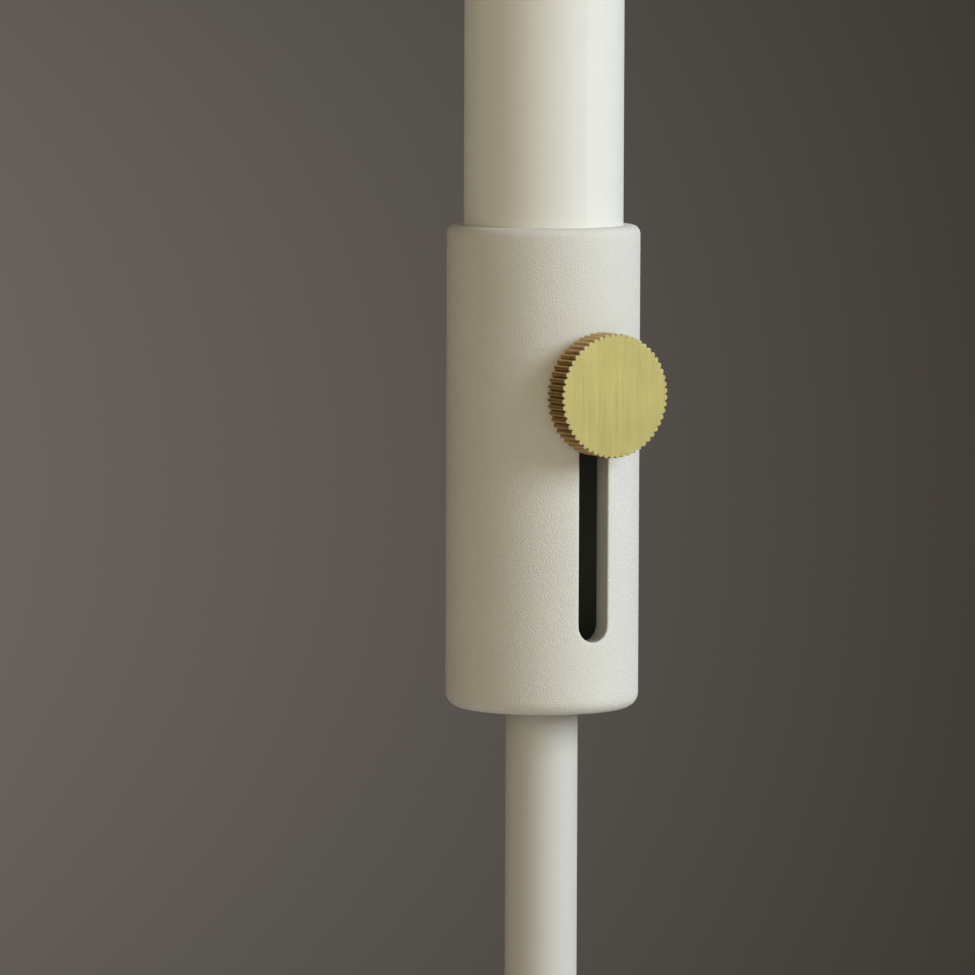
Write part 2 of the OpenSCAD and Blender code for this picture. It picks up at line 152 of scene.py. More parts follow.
class ArcLampColours(bpy.types.PropertyGroup):
    cream: FloatVectorProperty(
        name="Textured cream", description="Fine-texture powder coat of the sleeve, cup and base",
        default=(0.772, 0.748, 0.688), size=3, min=0, max=1, subtype="COLOR")
    cream_smooth: FloatVectorProperty(
        name="Smooth cream", description="Smooth satin paint of the tubes, rod and shade",
        default=(0.850, 0.835, 0.780), size=3, min=0, max=1, subtype="COLOR")
    brass: FloatVectorProperty(
        name="Brass", description="Brushed brass of the thumb screw, ring and button",
        default=(0.585, 0.488, 0.178), size=3, min=0, max=1, subtype="COLOR")
    black: FloatVectorProperty(
        name="Black plastic", description="Lamp holder, bushes and other black mouldings",
        default=(0.018, 0.018, 0.019), size=3, min=0, max=1, subtype="COLOR")
    steel: FloatVectorProperty(
        name="Steel", description="Bare turned steel inside the lamp",
        default=(0.52, 0.52, 0.53), size=3, min=0, max=1, subtype="COLOR")
    inside_white: FloatVectorProperty(
        name="Shade inside", description="White paint inside the shade",
        default=(0.86, 0.86, 0.84), size=3, min=0, max=1, subtype="COLOR")


class ArcLampStudio(bpy.types.PropertyGroup):
    floor: FloatVectorProperty(
        name="Floor", description="Colour of the plain floor",
        default=(0.50, 0.485, 0.46), size=3, min=0, max=1, subtype="COLOR")
    backdrop_left: FloatVectorProperty(
        name="Backdrop left", description="Background on the left of the view",
        default=(0.140, 0.126, 0.108), size=3, min=0, max=1, subtype="COLOR")
    backdrop_right: FloatVectorProperty(
        name="Backdrop right", description="Background on the right of the view",
        default=(0.056, 0.048, 0.041), size=3, min=0, max=1, subtype="COLOR")
    key_power: FloatProperty(
        name="Key light", description="Power of the large soft light at the right",
        default=225.0, min=0, max=5000, unit="POWER")
    fill_power: FloatProperty(
        name="Fill light", description="Power of the weak warm light behind the camera",
        default=76.0, min=0, max=2000, unit="POWER")
    room: FloatVectorProperty(
        name="Room", description="Colour of the dim light that comes from all round",
        default=(0.112, 0.100, 0.085), size=3, min=0, max=1, subtype="COLOR")
    lens: FloatProperty(
        name="Lens", description="Focal length of the camera in millimetres",
        default=258.5, min=20, max=400)
    pitch: FloatProperty(
        name="Pitch", description="How far the camera looks down",
        default=math.radians(5.05), min=0, max=1.2, subtype="ANGLE")
    heading: FloatProperty(
        name="Heading", description="Angle of the camera from the thumb screw's axis",
        default=math.radians(32.0), min=-3.2, max=3.2, subtype="ANGLE")
    roll: FloatProperty(
        name="Roll", description="Tilt of the camera about its own line of sight",
        default=math.radians(0.2), min=-0.2, max=0.2, subtype="ANGLE")


def sizes():
    return bpy.context.scene.arc_lamp_sizes


def colours():
    return bpy.context.scene.arc_lamp_colours


def studio():
    return bpy.context.scene.arc_lamp_studio


# ---------------------------------------------------------------------------
# Node helpers
# ---------------------------------------------------------------------------

class Graph:
    """Short ways to place and join nodes in one tree."""

    def __init__(self, tree):
        self.tree = tree

    def add(self, kind, **settings):
        node = self.tree.nodes.new(kind)
        for key, value in settings.items():
            setattr(node, key, value)
        return node

    def feed(self, socket, value):
        if isinstance(value, bpy.types.NodeSocket):
            self.tree.links.new(value, socket)
        elif isinstance(value, (tuple, list)) and len(value) == 3 and socket.type == "RGBA":
            socket.default_value = (*value, 1.0)
        else:
            socket.default_value = value

    def maths(self, operation, a, b=0.0, c=0.0, clamp=False):
        node = self.add("ShaderNodeMath", operation=operation, use_clamp=clamp)
        for socket, value in zip(node.inputs, (a, b, c)):
            self.feed(socket, value)
        return node.outputs[0]

    def mix(self, factor, a, b, blend="MIX"):
        node = self.add("ShaderNodeMix", data_type="RGBA", blend_type=blend)
        self.feed(node.inputs["Factor"], factor)
        self.feed(node.inputs[6], a)
        self.feed(node.inputs[7], b)
        return node.outputs[2]

    def spread(self, value, low_out, high_out, low_in=0.0, high_in=1.0):
        node = self.add("ShaderNodeMapRange")
        for key, number in (("From Min", low_in), ("From Max", high_in), ("To Min", low_out), ("To Max", high_out)):
            self.feed(node.inputs[key], number)
        self.feed(node.inputs["Value"], value)
        return node.outputs[0]

    def noise(self, vector, scale, detail=2.0, rough=0.5, distortion=0.0):
        node = self.add("ShaderNodeTexNoise")
        self.feed(node.inputs["Vector"], vector)
        self.feed(node.inputs["Scale"], scale)
        self.feed(node.inputs["Detail"], detail)
        self.feed(node.inputs["Roughness"], rough)
        self.feed(node.inputs["Distortion"], distortion)
        return node.outputs["Fac"]

    def place(self, scale=(1, 1, 1), turn=(0, 0, 0)):
        spot = self.add("ShaderNodeTexCoord")
        node = self.add("ShaderNodeMapping")
        node.inputs["Scale"].default_value = scale
        node.inputs["Rotation"].default_value = turn
        self.feed(node.inputs["Vector"], spot.outputs["Object"])
        return node.outputs[0]

    def bump(self, height, strength, distance, normal=None):
        node = self.add("ShaderNodeBump")
        self.feed(node.inputs["Height"], height)
        self.feed(node.inputs["Strength"], strength)
        self.feed(node.inputs["Distance"], distance)
        if normal is not None:
            self.feed(node.inputs["Normal"], normal)
        return node.outputs[0]


def effect(name, inputs, outputs, build):
    """A shader node group made once, with named inputs and outputs."""
    if name in bpy.data.node_groups:
        return bpy.data.node_groups[name]
    group = bpy.data.node_groups.new(name, "ShaderNodeTree")
    for label, kind, value in inputs:
        socket = group.interface.new_socket(label, in_out="INPUT", socket_type=kind)
        if value is not None:
            socket.default_value = value
    for label, kind in outputs:
        group.interface.new_socket(label, in_out="OUTPUT", socket_type=kind)
    graph = Graph(group)
    source = graph.add("NodeGroupInput")
    sink = graph.add("NodeGroupOutput")
    for label, value in build(graph, source.outputs).items():
        graph.feed(sink.inputs[label], value)
    return group


FLOAT, COLOUR, VECTOR = "NodeSocketFloat", "NodeSocketColor", "NodeSocketVector"


def powder_coat():
    """Fine raised grain of a powder coat, with faint clouding and a slight darkening toward each grain cell's rim,
    where the grain is low.
    """
    def build(g, given):
        grain = g.noise(given["Vector"], given["Grain scale"], 2.0, 0.5)
        pores = g.add("ShaderNodeTexVoronoi", feature="F1")
        g.feed(pores.inputs["Vector"], given["Vector"])
        g.feed(pores.inputs["Scale"], g.maths("MULTIPLY", given["Grain scale"], 0.9))
        height = g.maths("ADD", g.maths("MULTIPLY", grain, 0.35), g.maths("MULTIPLY", pores.outputs["Distance"], -0.8))
        cloud = g.noise(given["Vector"], 38.0, 3.0, 0.55)
        fleck = g.spread(pores.outputs["Distance"], 1.0, 0.0, 0.1, 0.7)
        flecks = g.maths("MULTIPLY", g.maths("SUBTRACT", fleck, 0.5), 0.6)
        shade = g.maths("ADD", g.spread(cloud, -0.5, 0.5, 0.3, 0.7), flecks)
        tone = g.maths("ADD", 1.0, g.maths("MULTIPLY", shade, given["Mottle"]))
        scaled = g.add("ShaderNodeVectorMath", operation="SCALE")
        g.feed(scaled.inputs[0], given["Colour"])
        g.feed(scaled.inputs["Scale"], tone)
        rough = g.maths("ADD", given["Roughness"], g.maths("MULTIPLY", g.maths("SUBTRACT", grain, 0.5), 0.25))
        return {"Colour": scaled.outputs[0], "Roughness": rough, "Height": height}
    return effect(
        "Powder coat grain",
        [("Vector", VECTOR, None), ("Colour", COLOUR, (0.8, 0.8, 0.7, 1)), ("Grain scale", FLOAT, 900.0),
         ("Mottle", FLOAT, 0.05), ("Roughness", FLOAT, 0.6)],
        [("Colour", COLOUR), ("Roughness", FLOAT), ("Height", FLOAT)], build)


def brushed():
    """Fine parallel scratches that run along one axis of the vector, with cloudy handling marks."""
    def build(g, given):
        fine = g.noise(given["Vector"], given["Scratch scale"], 4.0, 0.7)
        stretch = g.add("ShaderNodeVectorMath", operation="SCALE")
        g.feed(stretch.inputs[0], given["Vector"])
        g.feed(stretch.inputs["Scale"], 0.31)
        broad = g.noise(stretch.outputs[0], given["Scratch scale"], 2.0, 0.5)
        marks = g.noise(given["Plain vector"], 120.0, 3.0, 0.6)
        streak = g.maths("ADD", g.maths("MULTIPLY", fine, 0.65), g.maths("MULTIPLY", broad, 0.35))
        tone = g.maths("ADD", 1.0, g.maths("MULTIPLY", g.maths("SUBTRACT", streak, 0.5), given["Contrast"]))
        cloudy = g.maths("MULTIPLY", g.spread(marks, -1.0, 1.0, 0.3, 0.7), given["Marks"])
        tone = g.maths("MULTIPLY", tone, g.maths("ADD", 1.0, g.maths("MULTIPLY", cloudy, 0.03)))
        scaled = g.add("ShaderNodeVectorMath", operation="SCALE")
        g.feed(scaled.inputs[0], given["Colour"])
        g.feed(scaled.inputs["Scale"], tone)
        rough = g.maths("ADD", given["Roughness"], g.maths("MULTIPLY", g.maths("SUBTRACT", streak, 0.5), 0.3))
        rough = g.maths("ADD", rough, g.maths("MULTIPLY", cloudy, 0.04))
        return {"Colour": scaled.outputs[0], "Roughness": rough, "Height": streak}
    return effect(
        "Brushed metal",
        [("Vector", VECTOR, None), ("Plain vector", VECTOR, None), ("Colour", COLOUR, (0.8, 0.6, 0.3, 1)),
         ("Scratch scale", FLOAT, 1000.0), ("Contrast", FLOAT, 0.2), ("Roughness", FLOAT, 0.4), ("Marks", FLOAT, 1.0)],
        [("Colour", COLOUR), ("Roughness", FLOAT), ("Height", FLOAT)], build)


def moulded():
    """Spark-eroded grain and faint flow clouding of a moulding or casting."""
    def build(g, given):
        grain = g.noise(given["Vector"], given["Grain scale"], 4.0, 0.65)
        cloud = g.noise(given["Vector"], 60.0, 2.0, 0.5)
        tone = g.maths("ADD", 1.0, g.maths("MULTIPLY", g.maths("SUBTRACT", cloud, 0.5), given["Mottle"]))
        scaled = g.add("ShaderNodeVectorMath", operation="SCALE")
        g.feed(scaled.inputs[0], given["Colour"])
        g.feed(scaled.inputs["Scale"], tone)
        rough = g.maths("ADD", given["Roughness"], g.maths("MULTIPLY", g.maths("SUBTRACT", grain, 0.5), 0.2))
        return {"Colour": scaled.outputs[0], "Roughness": rough, "Height": grain}
    return effect(
        "Moulded grain",
        [("Vector", VECTOR, None), ("Colour", COLOUR, (0.1, 0.1, 0.1, 1)), ("Grain scale", FLOAT, 1500.0),
         ("Mottle", FLOAT, 0.2), ("Roughness", FLOAT, 0.5)],
        [("Colour", COLOUR), ("Roughness", FLOAT), ("Height", FLOAT)], build)


def use(g, group, **given):
    node = g.add("ShaderNodeGroup", node_tree=group)
    for key, value in given.items():
        g.feed(node.inputs[key.replace("_", " ")], value)
    return node.outputs


def finish_named(name):
    """A new material and its graph, with the Principled shader already wired to the output."""
    material = bpy.data.materials.new(name)
    material.use_nodes = True
    g = Graph(material.node_tree)
    shader = material.node_tree.nodes["Principled BSDF"]
    return material, g, shader


def constant(shader, **values):
    for key, value in values.items():
        shader.inputs[key.replace("_", " ")].default_value = value


# ---------------------------------------------------------------------------
# Finishes
# ---------------------------------------------------------------------------

def textured_cream(name="textured cream", scale=4200.0, strength=1.0, depth=0.115 * MM, rough=0.72):
    material, g, shader = finish_named(name)
    spot = g.place()
    coat = use(g, powder_coat(), Vector=spot, Colour=tuple(colours().cream), Grain_scale=scale, Mottle=0.05,
               Roughness=rough)
    g.feed(shader.inputs["Base Color"], coat["Colour"])
    g.feed(shader.inputs["Roughness"], coat["Roughness"])
    g.feed(shader.inputs["Normal"], g.bump(coat["Height"], strength, depth))
    constant(shader, Specular_IOR_Level=0.25)
    return material


def smooth_cream(name="smooth cream", colour=None, rough=0.46, sheen=0.0):
    material, g, shader = finish_named(name)
    spot = g.place()
    coat = use(g, powder_coat(), Vector=spot, Colour=tuple(colour or colours().cream_smooth), Grain_scale=260.0,
               Mottle=0.018, Roughness=rough)
    g.feed(shader.inputs["Base Color"], coat["Colour"])
    g.feed(shader.inputs["Roughness"], coat["Roughness"])
    g.feed(shader.inputs["Normal"], g.bump(coat["Height"], 0.10, 0.03 * MM))
    constant(shader, Specular_IOR_Level=0.45, Sheen_Weight=sheen, Sheen_Roughness=0.5)
    return material


def brushed_metal(name, colour, along, rough, contrast=0.22, strength=0.2, depth=0.02 * MM, metallic=1.0, marks=1.0):
    """along is the object axis that the scratches follow."""
    material, g, shader = finish_named(name)
    scale = [1.0, 1.0, 1.0]
    scale["XYZ".index(along)] = 0.035
    grain = use(g, brushed(), Vector=g.place(scale=scale), Plain_vector=g.place(), Colour=tuple(colour),
                Scratch_scale=3200.0, Contrast=contrast, Roughness=rough, Marks=marks)
    g.feed(shader.inputs["Base Color"], grain["Colour"])
    g.feed(shader.inputs["Roughness"], grain["Roughness"])
    g.feed(shader.inputs["Normal"], g.bump(grain["Height"], strength, depth))
    constant(shader, Metallic=metallic)
    return material


def moulded_finish(name, colour, rough, scale=1500.0, strength=0.15, depth=0.03 * MM, mottle=0.2):
    material, g, shader = finish_named(name)
    grain = use(g, moulded(), Vector=g.place(), Colour=tuple(colour), Grain_scale=scale, Mottle=mottle, Roughness=rough)
    g.feed(shader.inputs["Base Color"], grain["Colour"])
    g.feed(shader.inputs["Roughness"], grain["Roughness"])
    g.feed(shader.inputs["Normal"], g.bump(grain["Height"], strength, depth))
    return material


def opal_glass():
    material, g, shader = finish_named("opal glass")
    grain = use(g, moulded(), Vector=g.place(), Colour=(0.88, 0.87, 0.83), Grain_scale=300.0, Mottle=0.04,
                Roughness=0.18)
    g.feed(shader.inputs["Base Color"], grain["Colour"])
    g.feed(shader.inputs["Roughness"], grain["Roughness"])
    g.feed(shader.inputs["Normal"], g.bump(grain["Height"], 0.03, 0.02 * MM))
    constant(shader, Subsurface_Weight=0.35, Subsurface_Scale=0.01, Subsurface_Radius=(1.0, 1.0, 1.0), Coat_Weight=0.6,
             Coat_Roughness=0.08)
    return material


# ---------------------------------------------------------------------------
# Mesh helpers
# ---------------------------------------------------------------------------

def keep(bm, name, body, node, materials, sharp=math.radians(32)):
    """Writes the bmesh to a finished piece that rides on its body and stands for its CAD node."""
    mesh = bpy.data.meshes.new(name)
    bm.to_mesh(mesh)
    bm.free()
    mesh.polygons.foreach_set("use_smooth", [True] * len(mesh.polygons))
    mesh.set_sharp_from_angle(angle=sharp)
    for material in materials:
        mesh.materials.append(material)
    piece = bpy.data.objects.new(name, mesh)
    bpy.context.scene.collection.objects.link(piece)
    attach(piece, body)
    if node:
        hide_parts(node)
    return piece


def held_edges(bm, edges, hold):
    """Adds a supporting vertex near both ends of each long edge, so that flat stretches shade flat."""
    for edge in list(edges):
        length = edge.calc_length()
        if length > 4 * hold:
            _, near = bmesh.utils.edge_split(edge, edge.verts[0], hold / length)
            rest = next(e for e in near.link_edges if e.calc_length() > hold * 1.5)
            far = rest.other_vert(near)
            bmesh.utils.edge_split(rest, far, hold / rest.calc_length())


def turned(bm, outline, spot=(0.0, 0.0), steps=128, axis="Z", hold=0.3 * MM, index=0):
    """Spins a closed outline of (radius, height, corner rounding) about a line through spot, and adds it to bm.

    The line runs along Z, or along X for axis "X", when height is measured along X and spot is (y, z)."""
    work = bmesh.new()
    made = []
    for radius, height, _ in outline:
        place = (spot[0] + radius, spot[1], height) if axis == "Z" else (height, spot[0], spot[1] + radius)
        made.append(work.verts.new(place))
    work.faces.new(made)
    for vert, (_, _, rounding) in zip(made, outline):
        if rounding > 0:
            bmesh.ops.bevel(work, geom=[vert], offset=rounding, offset_type="OFFSET", segments=6, profile=0.5,
                            affect="VERTICES", material=-1)
    bmesh.ops.delete(work, geom=list(work.faces), context="FACES_ONLY")
    centre = Vector((spot[0], spot[1], 0)) if axis == "Z" else Vector((0, spot[0], spot[1]))
    line = Vector((0, 0, 1)) if axis == "Z" else Vector((1, 0, 0))

    def reach(vert):
        across = vert.co - centre
        return (across - line * across.dot(line)).length

    on_line = [e for e in work.edges if all(reach(v) < 1e-7 for v in e.verts)]
    bmesh.ops.delete(work, geom=on_line, context="EDGES")
    held_edges(work, list(work.edges), hold)
    bmesh.ops.spin(work, geom=list(work.verts) + list(work.edges), cent=centre, axis=line, angle=math.tau, steps=steps,
                   use_merge=True, use_duplicate=False)
    bmesh.ops.remove_doubles(work, verts=work.verts, dist=1e-6)
    face_out(work)
    for face in work.faces:
        face.material_index = index
    part = bpy.data.meshes.new("part")
    work.to_mesh(part)
    work.free()
    bm.from_mesh(part)
    bpy.data.meshes.remove(part)


def arc(centre, radius, first, last, parts):
    """Points of (radius, height, no rounding) on a circle in the outline's plane, between two angles in degrees."""
    turns = [math.radians(first + (last - first) * i / parts) for i in range(parts + 1)]
    return [(centre[0] + radius * math.cos(t), centre[1] + radius * math.sin(t), 0) for t in turns]


def face_out(bm):
    bmesh.ops.recalc_face_normals(bm, faces=bm.faces)


def choose(bm, test, index):
    for face in bm.faces:
        if test(face.calc_center_median(), face.normal):
            face.material_index = index


# ---------------------------------------------------------------------------
# Pieces
# ---------------------------------------------------------------------------

FINISH = {}


def repaint(node, finish):
    """A carried CAD node keeps its shape and takes a finish."""
    node_object = NODES[node]
    node_object.data.materials.clear()
    node_object.data.materials.append(FINISH[finish])


class ARCLAMP_OT_finishes(bpy.types.Operator):
    """Make the paints, metals, plastics and glass"""
    bl_idname = "arc_lamp.finishes"
    bl_label = "Finishes"

    def execute(self, context):
        c = colours()
        FINISH.update({
            "textured cream": textured_cream(),
            "smooth cream": smooth_cream(sheen=0.12),
            "rod cream": smooth_cream("rod cream", [v * 0.76 for v in c.cream_smooth], 0.6),
            # darker grey for the slot's side walls: painted shade of the slot's recess
            "slot wall painted shade": smooth_cream("slot wall painted shade", (0.410, 0.410, 0.385), 0.6),
            "dark bore": moulded_finish("dark bore", (0.28, 0.30, 0.27), 0.7),
            "inside white": smooth_cream("inside white", c.inside_white, 0.55),
            "brushed brass": brushed_metal("brushed brass", c.brass, "Z", 0.42, contrast=0.12, strength=0.1, marks=0.4),
            "turned brass": brushed_metal("turned brass", c.brass, "X", 0.30, contrast=0.12),
            # a darker, browner copy of the brass for the knurled side: painted shade
            "knurl brass with painted shade": brushed_metal("knurl brass with painted shade", (0.55, 0.355, 0.14), "X", 0.28, contrast=0.3),
            # a pale, part-metallic brass for the front bevel: a painted glint
            "brass rim painted glint": brushed_metal("brass rim painted glint", (0.88, 0.80, 0.46), "X", 0.32, contrast=0.1, metallic=0.25),
            "turned steel": brushed_metal("turned steel", c.steel, "Z", 0.34),
            "black plastic": moulded_finish("black plastic", c.black, 0.55),
            "phenolic": moulded_finish("phenolic", [v * 0.8 for v in c.black], 0.28, strength=0.06),
            "black anodised": brushed_metal("black anodised", (0.085, 0.085, 0.075), "Z", 0.55, contrast=0.3,
                                            metallic=0.0),
            "rubber": moulded_finish("rubber", (0.022, 0.022, 0.022), 0.72, scale=900.0, strength=0.25),
            "foam": moulded_finish("foam", (0.035, 0.034, 0.033), 0.9, scale=700.0, strength=0.6, depth=0.15 * MM,
                                  mottle=0.4),
            "cast iron": moulded_finish("cast iron", (0.055, 0.055, 0.058), 0.62, scale=420.0, strength=0.6,
                                       depth=0.2 * MM, mottle=0.5),
            "cable sheath": moulded_finish("cable sheath", (0.70, 0.69, 0.64), 0.5, mottle=0.06),
            "opal glass": opal_glass(),
        })
        return {"FINISHED"}


class ARCLAMP_OT_tubes(bpy.types.Operator):
    """Paint the mast, the arc and the swivel between them"""
    bl_idname = "arc_lamp.tubes"
    bl_label = "Mast and arc"

    def execute(self, context):
        for node in ("mast_lower", "mast_upper", "arc_tube"):
            repaint(node, "smooth cream")
        repaint("swivel_ring", "brushed brass")
        repaint("swivel_washer", "black plastic")
        repaint("grub_screws", "turned steel")
        repaint("cable_grommet", "rubber")
        return {"FINISHED"}


def slotted_sheet(bm, half, columns, rows):
    """Flat sheet in X (round the tube) and Z (along it) with a round-ended hole, as faces of bm.

    half is half the tube's outer girth. The hole is bridged to a block whose border fits the sheet."""
    slot_low = SLEEVE_LOW + SLOT_FROM_LOW + SLOT_HALF
    slot_high = SLEEVE_HIGH - SLOT_FROM_TOP - SLOT_HALF
    block_x = 2.4 * SLOT_HALF
    block_low, block_high = slot_low - 2.2 * SLOT_HALF, slot_high + 2.2 * SLOT_HALF
    across = [block_x * (2 * i / columns - 1) for i in range(columns + 1)]
    along = [block_low + (block_high - block_low) * i / rows for i in range(rows + 1)]
    outer = [(x, block_low) for x in across] + [(block_x, z) for z in along[1:]] \
        + [(x, block_high) for x in reversed(across[:-1])] + [(-block_x, z) for z in reversed(along[1:-1])]
    edge = SLEEVE_R * math.asin(SLOT_HALF / SLEEVE_R)

    def on_slot(x, z):
        core = min(max(z, slot_low), slot_high)
        if core == z:
            return (math.copysign(edge, x), z)
        away = Vector((x, z - core)).normalized()
        return (away.x * edge, core + away.y * SLOT_HALF)

    loops = []
    for points in (outer, [on_slot(x, z) for x, z in outer]):
        verts = [bm.verts.new((x, 0, z)) for x, z in points]
        loops.append([bm.edges.new((a, b)) for a, b in zip(verts, verts[1:] + verts[:1])])
    bridged = bmesh.ops.bridge_loops(bm, edges=loops[0] + loops[1])
    rim = {e for loop in loops for e in loop}
    spokes = [e for f in bridged["faces"] for e in f.edges if e not in rim]
    bmesh.ops.subdivide_edges(bm, edges=list(set(spokes)), cuts=4, use_grid_fill=True)

    def strip(x0, x1, zs, parts):
        xs = [x0 + (x1 - x0) * i / parts for i in range(parts + 1)]
        grid = [[bm.verts.new((x, 0, z)) for x in xs] for z in zs]
        for lower, upper in zip(grid, grid[1:]):
            for i in range(parts):
                bm.faces.new((lower[i], lower[i + 1], upper[i + 1], upper[i]))

    below = [SLEEVE_LOW + (block_low - SLEEVE_LOW) * t for t in (0, 0.5, 1)]
    socket = SLEEVE_HIGH - SOCKET_DEPTH
    above = [block_high, socket - 0.01 * MM, socket, (socket + SLEEVE_HIGH) / 2, SLEEVE_HIGH]
    full = below[:-1] + along + above[1:]
    side = 56
    strip(-half, -block_x, full, side)
    strip(block_x, half, full, side)
    strip(-block_x, block_x, below, columns)
    strip(-block_x, block_x, above, columns)
    bmesh.ops.remove_doubles(bm, verts=bm.verts, dist=1e-6)
    return edge, block_x


class ARCLAMP_OT_sleeve(bpy.types.Operator):
    """Model the slotted sleeve with its rounded rims and painted slot edges; the slot's side walls are darkened as
    painted shade
    """
    bl_idname = "arc_lamp.sleeve"
    bl_label = "Slotted sleeve"

    def execute(self, context):
        s = sizes()
        bm = bmesh.new()
        half = math.pi * SLEEVE_R
        slot_edge, block_x = slotted_sheet(bm, half, 16, 40)
        outer = list(bm.verts)
        copied = bmesh.ops.duplicate(bm, geom=list(bm.verts) + list(bm.edges) + list(bm.faces))
        inner = [g for g in copied["geom"] if isinstance(g, bmesh.types.BMVert)]
        bmesh.ops.reverse_faces(bm, faces=[g for g in copied["geom"] if isinstance(g, bmesh.types.BMFace)])
        slot_rim = [e for e in bm.edges if e.is_boundary
                    and all(abs(v.co.x) < block_x * 0.9 and SLEEVE_LOW + 5 * MM < v.co.z < SLEEVE_HIGH - 5 * MM
                            for v in e.verts)]
        ends = [e for e in bm.edges if e.is_boundary and e not in slot_rim
                and (all(abs(v.co.z - SLEEVE_LOW) < 1e-6 for v in e.verts)
                     or all(abs(v.co.z - SLEEVE_HIGH) < 1e-6 for v in e.verts))]
        socket = SLEEVE_HIGH - SOCKET_DEPTH

        def radius_in(z):
            return TUBE_R + SOCKET_GAP if z > socket - 0.005 * MM else SLEEVE_R - SLEEVE_WALL

        def wrap(verts, inside):
            for v in verts:
                x, z = v.co.x, v.co.z
                angle = x / SLEEVE_R
                radius = radius_in(z) if inside else SLEEVE_R
                if inside and abs(x) < block_x:
                    blend = min(max((abs(x) - slot_edge) / (block_x - slot_edge), 0.0), 1.0)
                    straight = math.asin(max(-1.0, min(1.0, SLEEVE_R * math.sin(angle) / radius)))
                    angle = straight * (1 - blend) + angle * blend
                v.co = (DROP_X + radius * math.cos(angle), radius * math.sin(angle), z)

        wrap(outer, False)
        wrap(inner, True)
        bmesh.ops.bridge_loops(bm, edges=slot_rim)
        for level in (SLEEVE_LOW, SLEEVE_HIGH):
            bmesh.ops.bridge_loops(bm, edges=[e for e in ends if abs(e.verts[0].co.z - level) < 1e-6])
        bmesh.ops.remove_doubles(bm, verts=bm.verts, dist=1e-6)
        face_out(bm)

        def out_from_axis(vert):
            return math.hypot(vert.co.x - DROP_X, vert.co.y)

        def ring(level):
            return [e for e in bm.edges if all(abs(v.co.z - level) < 1e-6 and abs(out_from_axis(v) - SLEEVE_R) < 1e-6
                                               for v in e.verts)]

        for level, offset, segments in ((SLEEVE_LOW, s.sleeve_low_round, 8), (SLEEVE_HIGH, s.sleeve_top_round, 6)):
            bmesh.ops.bevel(bm, geom=ring(level), offset=offset, segments=segments, profile=0.5, affect="EDGES",
                            material=-1)
        slot_edges = [e for e in bm.edges if e.calc_face_angle(0) > math.radians(50)
                      and e.verts[0].co.x > DROP_X + 10 * MM
                      and all(SLEEVE_LOW + 10 * MM < v.co.z < SLEEVE_HIGH - 25 * MM for v in e.verts)
                      and all(abs(v.co.y) < SLOT_HALF + 0.1 * MM for v in e.verts)]
        bmesh.ops.bevel(bm, geom=slot_edges, offset=s.slot_edge_round, segments=3, profile=0.5, affect="EDGES",
                        material=-1)
        # the slot's side walls take the darker grey of painted shade
        choose(bm, lambda c, n: c.x > DROP_X + 10 * MM and abs(c.y) < SLOT_HALF + 0.02 * MM
               and SLEEVE_LOW + SLOT_FROM_LOW - 1 * MM < c.z < SLEEVE_HIGH - SLOT_FROM_TOP + 1 * MM
               and SLEEVE_R - SLEEVE_WALL < math.hypot(c.x - DROP_X, c.y) < SLEEVE_R - s.slot_edge_round * 0.9, 2)
        choose(bm, lambda c, n: math.hypot(c.x - DROP_X, c.y) < SLEEVE_R - SLEEVE_WALL + 0.3 * MM, 1)
        keep(bm, "sleeve_shell", "arm", "height_sleeve",
             [FINISH["textured cream"], FINISH["dark bore"], FINISH["slot wall painted shade"]], math.radians(40))
        for node in ("rod_bush", "slide_carriage"):
            repaint(node, "black plastic")
        repaint("slide_bar", "black anodised")
        repaint("carriage_pin", "turned steel")
        repaint("thread_insert", "brushed brass")
        return {"FINISHED"}


